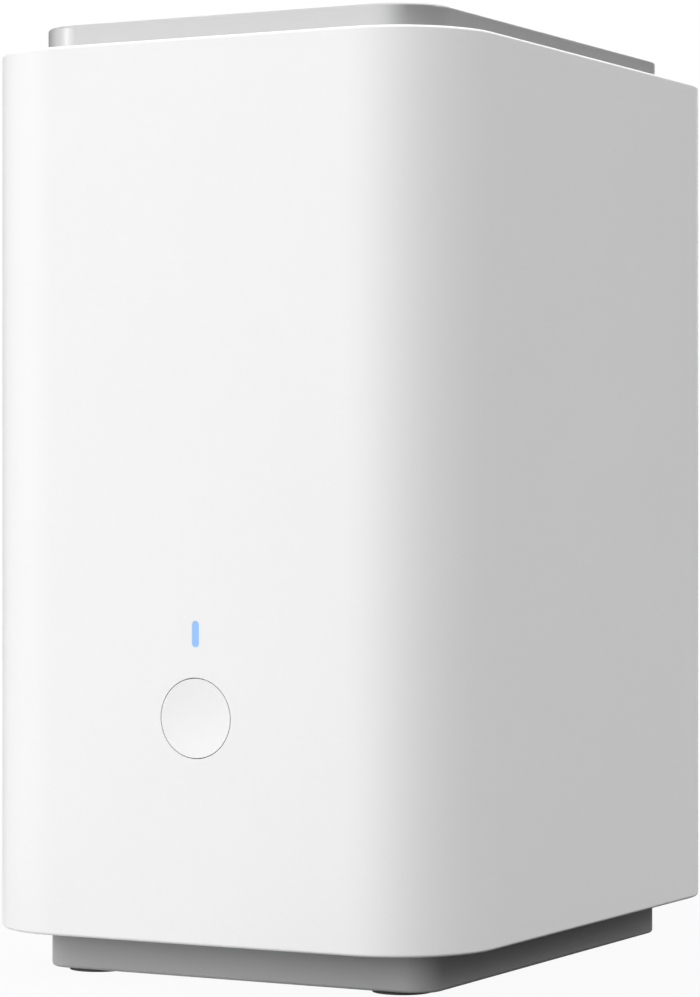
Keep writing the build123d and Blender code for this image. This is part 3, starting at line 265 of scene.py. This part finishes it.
def brushed(name, colour, roughness, axis="Z"):
    """Rolled or brushed metal: hair lines that run along one axis, and faint stains."""
    fineness = 40.0
    scales = (1.0 if letter == axis else fineness for letter in "XYZ")
    finish = Finish(name, Metallic=1.0)
    lines = finish.cloud(size=0.004, detail=5.0, place=finish.stretched(*scales))
    stain = finish.cloud(size=0.018)
    finish.paint(
        Base_Color=finish.mix(stain, rgba(colour, 0.9), rgba(colour, 1.05)),
        Roughness=lines * 0.14 + stain * 0.06 + (roughness - 0.02),
    )
    return finish.bump(lines, depth=0.00001).material


def cast(name, colour, roughness):
    """Die-cast alloy: a pebbled skin with painted shade in its hollows."""
    finish = Finish(name, Metallic=0.9)
    pebble = finish.cloud(size=0.0012, detail=4.0)
    flow = finish.cloud(size=0.02, detail=3.0)
    # Painted shade: the colour follows the pebbled relief, darker in its hollows and lighter on its tops.
    finish.paint(
        Base_Color=finish.mix(pebble, rgba(colour, 0.8), rgba(colour, 1.1)),
        Roughness=flow * 0.15 + (roughness - 0.07),
    )
    return finish.bump(pebble, depth=0.00006).material


def circuit(name, colour):
    """A printed board: solder mask over copper runs between cells, and bright round pads."""
    copper = (0.75, 0.62, 0.36)
    finish = Finish(name, Coat_Weight=0.4, Coat_Roughness=0.2)
    runs = 1 - finish.cells(size=0.006, feature="DISTANCE_TO_EDGE").step(0.03, 0.06)
    fine = 1 - finish.cells(size=0.0022, feature="DISTANCE_TO_EDGE").step(0.05, 0.09)
    pads = 1 - finish.cells(size=0.004, distance="CHEBYCHEV").step(0.1, 0.14)
    base = finish.mix(runs, rgba(colour), rgba(colour, 2.0))
    base = finish.mix(fine * 0.5, base, rgba(colour, 1.7))
    finish.paint(
        Base_Color=finish.mix(pads, base, rgba(copper)),
        Metallic=pads * 0.9,
        Roughness=0.4 - pads * 0.12,
    )
    return finish.bump(runs * 0.5 + pads * 0.5, depth=0.00004).material


def wound(name, colour, axis):
    """Enamelled wire laid side by side: a wave for every turn, with painted shade in the hollows between
    turns.
    """
    finish = Finish(name, Metallic=0.85)
    turns = finish.bands(size=0.0005, axis=axis)
    # Painted shade: the colour drops to about a third in the hollows between the turns, following the same
    # wave as the relief.
    finish.paint(
        Base_Color=finish.mix(turns, rgba(colour, 0.35), rgba(colour)),
        Roughness=finish.cloud(size=0.003) * 0.12 + 0.29,
    )
    return finish.bump(turns, depth=0.00012).material


def pulp(name, colour):
    """Pressed paper pulp with matted fibres."""
    finish = Finish(name, IOR=1.4)
    fibres = finish.cloud(size=0.0009, detail=5.0, place=finish.stretched(1.0, 3.0, 1.0))
    finish.paint(
        Base_Color=finish.mix(fibres, rgba(colour, 0.6), rgba(colour, 1.5)),
        Roughness=finish.cloud(size=0.004) * 0.1 + 0.85,
    )
    return finish.bump(fibres, depth=0.00008).material


def lit(name, colour, strength):
    """The diffuser of the status light: an even glow with a faint haze."""
    finish = Finish(name, Roughness=0.35, Emission_Strength=strength)
    haze = finish.cloud(size=0.0015, detail=3.0)
    finish.paint(Emission_Color=finish.mix(haze, rgba(colour, 0.97), rgba(colour, 1.03)))
    finish.paint(Base_Color=finish.mix(haze, rgba(colour, 0.04), rgba(colour, 0.06)))
    return finish.bump(haze, depth=0.00001).material


# Pieces taken over from the solids
def dress(material, *nodes):
    """Gives solids a finish and leaves their meshes alone."""
    for name in nodes:
        for slot in frame["nodes"][name].material_slots:
            slot.material = material


# Pieces finer than the solids
def wires(name, material, paths, half_width, half_height, carrier):
    """Flattened wires that ride with a solid, each closed at both ends.

    The point at angle a of the ring at C is C + half_width cos(a) x + half_height sin(a) n,
    where x is the object's x axis and n = T cross x stands square to the path's direction T.
    """
    sides = 12
    along = np.gradient(paths, axis=1)
    along /= np.linalg.norm(along, axis=2, keepdims=True)
    across = np.array((1.0, 0.0, 0.0))
    angle = np.linspace(0, 2 * np.pi, sides, endpoint=False)[:, None]
    ring = half_width * np.cos(angle) * across
    points = paths[:, :, None] + ring + half_height * np.sin(angle) * np.cross(along, across)[:, :, None]
    index = np.arange(points[..., 0].size).reshape(points.shape[:3])
    after = np.roll(index, -1, axis=2)
    quads = np.stack((index[:, :-1], after[:, :-1], after[:, 1:], index[:, 1:]), axis=3).reshape(-1, 4)
    faces = quads.tolist() + index[:, 0, ::-1].tolist() + index[:, -1].tolist()
    mesh = bpy.data.meshes.new(name)
    mesh.from_pydata(points.reshape(-1, 3).tolist(), [], faces)
    mesh.polygons.foreach_set("use_smooth", [len(face) == 4 for face in faces])
    mesh.materials.append(material)
    piece = bpy.data.objects.new(name, mesh)
    bpy.context.scene.collection.objects.link(piece)
    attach(piece, body_of(frame["nodes"][carrier])[0])


def rounded(corners, steps):
    """A smooth path through the middles of a bent line: the quadratic B-spline of its corners."""
    corners = np.array([corners[0], *corners, corners[-1]], dtype=float)
    t = np.linspace(0, 1, steps, endpoint=False)[:, None]
    triples = zip(corners, corners[1:], corners[2:])
    spans = [((1 - t) ** 2 * a + (1 + 2 * t - 2 * t**2) * b + t**2 * c) / 2 for a, b, c in triples]
    return np.concatenate(spans + [corners[-1:]])


def row(path, places):
    """Copies of a path moved along x."""
    moves = np.zeros((len(places), 1, 3))
    moves[:, 0, 0] = places
    return path + moves


def into(socket, bends):
    """Corners of a line that runs into a socket, each so deep behind its face and so far below its top."""
    box = np.array(frame["nodes"][socket].bound_box)
    middle = (box[:, 0].min() + box[:, 0].max()) / 2
    face, top = box[:, 1].max(), box[:, 2].max()
    return [(middle, face - depth, top - drop) for depth, drop in bends]


# Values that a user may change
def tint(name, description, default):
    return FloatVectorProperty(name=name, description=description, subtype="COLOR", default=default)


def watts(name, description, default):
    return FloatProperty(name=name, description=description, subtype="POWER", default=default)


def length(name, description, default):
    return FloatProperty(name=name, description=description, subtype="DISTANCE", default=default)


class StationColours(bpy.types.PropertyGroup):
    """Colours of the pieces that show."""

    shell: tint("Sleeve", "White of the sleeve", (0.83, 0.83, 0.83))
    lid: tint("Lid", "Silver grey of the lid", (0.58, 0.58, 0.585))
    plinth: tint("Plinth", "Grey of the plinth", (0.47, 0.47, 0.475))
    foot: tint("Feet", "Rubber of the feet", (0.07, 0.07, 0.072))
    panel: tint("Panels", "Grey of the rear panels", (0.12, 0.12, 0.125))
    glow: tint("Light", "Glow of the status light", (0.28, 0.515, 0.94))


class StationContacts(bpy.types.PropertyGroup):
    """Sizes of the contacts in the rear sockets."""

    network_pitch: length("Network pitch", "Step between the network socket's springs", 0.00102)
    spring_radius: length("Spring radius", "Half the thickness of a network spring", 0.00018)
    strip_width: length("Strip width", "Width of a contact on the USB tongue", 0.001)
    strip_thickness: length("Strip thickness", "Thickness of a contact on the USB tongue", 0.00012)
    pin_radius: length("Pin radius", "Radius of the power socket's pin with its skin", 0.00104)


class StationStage(bpy.types.PropertyGroup):
    """Lamps, world and camera."""

    key_power: watts("Key", "Power of the tall strip at the front left", 2.2)
    top_power: watts("Top", "Power of the lamp overhead", 2.5)
    back_power: watts("Back", "Power of the lamp behind", 10.0)
    world_light: FloatProperty(name="World", description="Strength from all round", default=0.27)
    side_light: FloatProperty(name="Side", description="Strength from high at the back right", default=3.1)
    front_light: FloatProperty(name="Front", description="Strength from in front", default=2.35)
    lens: FloatProperty(name="Lens", description="Focal length on a 36 mm sensor", default=127.4)
    shift: FloatProperty(name="Shift", description="Vertical shift of the level camera", default=-0.0087)
    turn: FloatProperty(
        name="Turn",
        description="How far to the right of the front the camera stands",
        subtype="ANGLE",
        default=math.radians(28.1),
    )
    place: FloatVectorProperty(
        name="Place",
        description="Where the camera stands",
        subtype="TRANSLATION",
        default=(0.4114, -0.7774, 0.1149),
    )


class STATION_OT_case(bpy.types.Operator):
    """Finishes the sleeve, the lid, the plinth and the feet"""

    bl_idname = "station.case"
    bl_label = "Case"

    def execute(self, context):
        colours = context.scene.station_colours
        dress(moulded("sleeve_white", colours.shell, roughness=0.42, depth=0.00003), "outer_shell")
        dress(moulded("lid_satin", colours.lid, roughness=0.31, depth=0.000004, metal=0.64), "top_cap")
        dress(moulded("plinth_satin", colours.plinth, roughness=0.4, depth=0.00001, ior=1.3), "base_tray")
        dress(rubber("foot_rubber", colours.foot), "rubber_feet")
        return {"FINISHED"}


class STATION_OT_front(bpy.types.Operator):
    """Finishes the button, the status light, and the lamp and switch behind them"""

    bl_idname = "station.front"
    bl_label = "Button and light"

    def execute(self, context):
        colours = context.scene.station_colours
        dress(moulded("button_white", colours.shell, roughness=0.38), "front_button")
        dress(lit("light_glow", colours.glow, 1.0), "status_light_pipe")
        dress(lit("lamp_die", (0.9, 0.85, 0.5), 0.3), "status_led")
        dress(moulded("nylon_plunger", (0.7, 0.7, 0.66), roughness=0.4), "front_switch_plunger")
        dress(moulded("switch_black", (0.02, 0.02, 0.02), roughness=0.45), "front_switch")
        return {"FINISHED"}


class STATION_OT_back(bpy.types.Operator):
    """Finishes the rear grille, the socket panel and the sockets in it"""

    bl_idname = "station.back"
    bl_label = "Rear panels and sockets"

    def execute(self, context):
        colours = context.scene.station_colours
        panel = moulded("panel_textured", colours.panel, roughness=0.5, grain=0.0006, depth=0.00003)
        dress(panel, "rear_grille", "port_panel")
        black = moulded("socket_black", (0.018, 0.018, 0.019), roughness=0.4)
        dress(black, "ethernet_jack", "power_jack", "reset_switch")
        dress(brushed("socket_tin", (0.72, 0.71, 0.69), roughness=0.3), "usb_port")
        dress(moulded("nylon_pin", (0.72, 0.71, 0.68), roughness=0.4), "reset_plunger")
        return {"FINISHED"}


class STATION_OT_contacts(bpy.types.Operator):
    """Lays the gold contacts of the network and USB sockets and the skin of the power socket's pin"""

    bl_idname = "station.contacts"
    bl_label = "Socket contacts"

    def execute(self, context):
        sizes = context.scene.station_contacts
        gold = brushed("contact_gold", (0.83, 0.6, 0.25), roughness=0.3, axis="Y")
        self.network(gold, sizes)
        self.usb(gold, sizes)
        self.power(sizes)
        return {"FINISHED"}

    def network(self, gold, sizes):
        """Eight sprung wires that run in under the roof of the mouth, slope down and turn up again."""
        bends = [(0.0014, 0.00278), (0.0046, 0.00278), (0.0118, 0.0062), (0.0134, 0.0048)]
        spring = rounded(into("ethernet_jack", bends), steps=8)
        springs = row(spring, sizes.network_pitch * (np.arange(8) - 3.5))
        radius = sizes.spring_radius
        wires("network_contacts", gold, springs, radius, radius, "ethernet_jack")

    def usb(self, gold, sizes):
        """Four flat strips on the under side of the tongue."""
        tongue_drop = 0.00332
        line = into("usb_port", [(depth, tongue_drop) for depth in (0.0016, 0.008, 0.013)])
        strips = row(rounded(line, steps=4), np.array((-0.0035, -0.001, 0.001, 0.0035)))
        half_width, half_height = sizes.strip_width / 2, sizes.strip_thickness / 2
        wires("usb_contacts", gold, strips, half_width, half_height, "usb_port")

    def power(self, sizes):
        """The skin of the pin in the middle of the round bore."""
        tin = brushed("pin_tin", (0.72, 0.71, 0.69), roughness=0.3, axis="Y")
        half_height = frame["nodes"]["power_jack"].dimensions.z / 2
        line = into("power_jack", [(depth, half_height) for depth in (0.00098, 0.004, 0.009)])
        pin = row(rounded(line, steps=4), [0.0])
        wires("power_pin", tin, pin, sizes.pin_radius, sizes.pin_radius, "power_jack")


class STATION_OT_boards(bpy.types.Operator):
    """Finishes the circuit boards and the parts soldered to them"""

    bl_idname = "station.boards"
    bl_label = "Boards"

    def execute(self, context):
        mask = circuit("board_mask", (0.012, 0.09, 0.035))
        dress(mask, "main_board", "front_board", "drive_board", "antennas")
        epoxy = moulded("chip_epoxy", (0.02, 0.02, 0.021), roughness=0.5, grain=0.0002)
        dress(epoxy, "processor", "memory_chips")
        ferrite = moulded("coil_ferrite", (0.05, 0.05, 0.052), roughness=0.65, grain=0.0005, depth=0.00004)
        dress(ferrite, "power_coils")
        tin = brushed("can_tin", (0.78, 0.77, 0.74), roughness=0.32)
        dress(tin, "capacitors", "radio_modules", "clock_battery")
        dress(cast("sink_anodised", (0.42, 0.43, 0.45), roughness=0.42), "heat_sink")
        dress(rubber("pad_grey", (0.3, 0.31, 0.33)), "thermal_pad")
        nylon = moulded("socket_nylon", (0.75, 0.73, 0.66), roughness=0.4)
        dress(nylon, "battery_holder", "cable_sockets", "drive_socket")
        return {"FINISHED"}


class STATION_OT_drive(bpy.types.Operator):
    """Finishes the drive, its cage and the frame that carries them"""

    bl_idname = "station.drive"
    bl_label = "Drive and frame"

    def execute(self, context):
        dress(moulded("frame_plastic", (0.1, 0.1, 0.105), roughness=0.5, depth=0.00002), "inner_frame")
        dress(brushed("cage_steel", (0.6, 0.61, 0.62), roughness=0.34), "drive_cage", "drive_cover")
        dress(cast("casting_alloy", (0.5, 0.5, 0.51), roughness=0.5), "drive_casting")
        dress(rubber("grommet_rubber", (0.03, 0.03, 0.03)), "drive_grommets")
        dress(moulded("plug_black", (0.02, 0.02, 0.02), roughness=0.45), "drive_plug")
        return {"FINISHED"}


class STATION_OT_fan(bpy.types.Operator):
    """Finishes the fan and its windings"""

    bl_idname = "station.fan"
    bl_label = "Fan"

    def execute(self, context):
        black = moulded("fan_black", (0.022, 0.022, 0.023), roughness=0.45, depth=0.00002)
        dress(black, "fan_frame", "fan_rotor")
        dress(brushed("bearing_bronze", (0.6, 0.38, 0.2), roughness=0.4), "fan_bearing")
        dress(wound("winding_wire", (0.85, 0.38, 0.16), "Y"), "fan_coils")
        return {"FINISHED"}


class STATION_OT_speaker(bpy.types.Operator):
    """Finishes the loudspeaker"""

    bl_idname = "station.speaker"
    bl_label = "Loudspeaker"

    def execute(self, context):
        dress(brushed("basket_steel", (0.3, 0.3, 0.31), roughness=0.4), "speaker_frame")
        dress(cast("magnet_plated", (0.45, 0.45, 0.46), roughness=0.4), "speaker_magnet")
        dress(pulp("cone_paper", (0.05, 0.048, 0.045)), "speaker_cone")
        dress(rubber("surround_rubber", (0.02, 0.02, 0.02)), "speaker_surround", "speaker_gasket")
        return {"FINISHED"}


class STATION_OT_fixings(bpy.types.Operator):
    """Finishes the screws and the leads"""

    bl_idname = "station.fixings"
    bl_label = "Screws and leads"

    def execute(self, context):
        steel = brushed("screw_zinc", (0.68, 0.68, 0.66), roughness=0.3)
        screws = [name for name in frame["nodes"] if name.endswith("_screws")]
        dress(steel, *screws)
        black = moulded("jacket_black", (0.02, 0.02, 0.02), roughness=0.5, depth=0.00002)
        dress(black, "drive_cable", "fan_cable", "antenna_cables")
        white = moulded("jacket_white", (0.7, 0.7, 0.68), roughness=0.5, depth=0.00002)
        dress(white, "front_board_cable", "speaker_cable")
        return {"FINISHED"}


def aimed(place, forward):
    """The matrix of a lamp or a camera that stands at a place and looks along a direction, upright."""
    turn = Vector(forward).to_track_quat("-Z", "Y")
    return Matrix.Translation(place) @ turn.to_matrix().to_4x4()


def area_lamp(name, place, aim, width, height, power):
    """A rectangular soft lamp that faces the point it is aimed at."""
    data = bpy.data.lights.new(name, "AREA")
    data.energy = power
    data.shape = "RECTANGLE"
    data.size = width
    data.size_y = height
    lamp = bpy.data.objects.new(name, data)
    lamp.matrix_world = aimed(place, Vector(aim) - Vector(place))
    bpy.context.scene.collection.objects.link(lamp)


class STATION_OT_stage(bpy.types.Operator):
    """Makes the white floor, the lamps, the world and the camera"""

    bl_idname = "station.stage"
    bl_label = "Stage"

    def execute(self, context):
        stage = context.scene.station_stage
        self.floor()
        low, middle = (0, 0, 0.1), (0, 0, 0.3)
        area_lamp("key_lamp", (-1.53, -1.29, 0.56), middle, width=0.3, height=1.1, power=stage.key_power)
        area_lamp("top_lamp", (0.0, 0.0, 1.9), low, width=1.4, height=1.4, power=stage.top_power)
        area_lamp("back_lamp", (-0.7, 2.0, 0.8), low, width=1.4, height=1.2, power=stage.back_power)
        self.world(stage)
        self.camera(context.scene, stage)
        context.scene.view_settings.view_transform = "Standard"
        return {"FINISHED"}

    def camera(self, scene, stage):
        """The photograph's camera: level, and shifted where another would be tilted."""
        data = bpy.data.cameras.new("photo_camera")
        data.sensor_width = 36.0
        data.lens = stage.lens
        data.shift_y = stage.shift
        data.clip_start = 0.01
        camera = bpy.data.objects.new("photo_camera", data)
        camera.matrix_world = aimed(stage.place, (-math.sin(stage.turn), math.cos(stage.turn), 0.0))
        scene.collection.objects.link(camera)
        scene.camera = camera

    def floor(self):
        """A square under the feet: white to the camera but for the shadow, with painted shade darkening its
        paper at the right.
        """
        half, gap = 4.0, 0.00005
        corners = half * np.array([(-1, -1, 0), (1, -1, 0), (1, 1, 0), (-1, 1, 0)], dtype=float)
        corners[:, 2] = cad_box[0][2] - gap
        mesh = bpy.data.meshes.new("floor")
        mesh.from_pydata(corners.tolist(), [], [(0, 1, 2, 3)])
        mesh.materials.append(self.paper())
        plane = bpy.data.objects.new("floor", mesh)
        bpy.context.scene.collection.objects.link(plane)

    def paper(self):
        """The floor's finish: grey paper that lights itself for the camera and in mirror images."""
        shadow, near, far = 0.05, 0.1, 0.5
        paper = Finish("floor_paper", Roughness=0.9)
        dim = paper.dimness(paper.add("ShaderNodeVectorMath", {"operation": "NORMALIZE"}, {0: paper.place}))
        pale = paper.mix(paper.cloud(size=0.3), rgba(paper_white, 0.33), rgba(paper_white, 0.35))
        # Painted shade: the paper's colour falls almost to black where the studio is dim, at the right and,
        # less, at the back left.
        paper.paint(Base_Color=paper.mix(dim, pale, rgba(paper_white, 0.03)))
        away = paper.add("ShaderNodeVectorMath", {"operation": "LENGTH"}, {0: paper.place}, "Value")
        camera, gloss = paper.rays()
        seen = 1 - (1 - camera) * (1 - gloss * (1 - dim))
        share = seen * (away.step(near, far) * shadow + (1 - shadow))
        glow = paper.add("ShaderNodeEmission", {}, {"Strength": 1.0})
        matt = Signal(paper, paper.shader.outputs[0])
        paper.surface(paper.add("ShaderNodeMixShader", {}, {0: share, 1: matt, 2: glow}))
        return paper.material

    def world(self, stage):
        """White to the camera, white with dark parts in mirror images, and two soft lights on the rest."""
        world = bpy.data.worlds.new("studio")
        world.use_nodes = True
        bpy.context.scene.world = world
        sky = Shading(world.node_tree)
        camera, gloss = sky.rays()
        towards = sky.add("ShaderNodeTexCoord", output="Generated")
        dim = (1 - camera) * sky.dimness(towards)
        front = sky.facing(towards, front_lobe) * stage.front_light
        side = sky.facing(towards, side_lobe) * stage.side_light
        white = rgba(paper_white)
        shades = {"Color": sky.mix(dim, white, rgba(paper_white, 0.0))}
        seen = sky.add("ShaderNodeBackground", {}, shades)
        light = {"Color": white, "Strength": front + side + stage.world_light}
        around = sky.add("ShaderNodeBackground", {}, light)
        mirrored = 1 - (1 - camera) * (1 - gloss)
        sky.surface(sky.add("ShaderNodeMixShader", {}, {0: mirrored, 1: around, 2: seen}))


class STATION_PT_panel(bpy.types.Panel):
    """Lists the pieces in the order in which they are made"""

    bl_label = "Base station"
    bl_idname = "STATION_PT_panel"
    bl_space_type = "VIEW_3D"
    bl_region_type = "UI"
    bl_category = "Base station"

    def draw(self, context):
        scene = context.scene
        for group in (scene.station_colours, scene.station_contacts, scene.station_stage):
            for name in group.__annotations__:
                self.layout.prop(group, name)
        for operator in operators:
            self.layout.operator(operator.bl_idname)


operators = (
    STATION_OT_stage,
    STATION_OT_case,
    STATION_OT_front,
    STATION_OT_back,
    STATION_OT_contacts,
    STATION_OT_boards,
    STATION_OT_drive,
    STATION_OT_fan,
    STATION_OT_speaker,
    STATION_OT_fixings,
)
classes = (StationColours, StationContacts, StationStage, *operators, STATION_PT_panel)


def register():
    for each in classes:
        bpy.utils.register_class(each)
    bpy.types.Scene.station_colours = PointerProperty(type=StationColours)
    bpy.types.Scene.station_contacts = PointerProperty(type=StationContacts)
    bpy.types.Scene.station_stage = PointerProperty(type=StationStage)


def unregister():
    del bpy.types.Scene.station_stage
    del bpy.types.Scene.station_contacts
    del bpy.types.Scene.station_colours
    for each in reversed(classes):
        bpy.utils.unregister_class(each)


def main():
    register()
    for operator in operators:
        getattr(bpy.ops.station, operator.bl_idname.split(".")[1])()


if __name__ == "__main__":
    main()
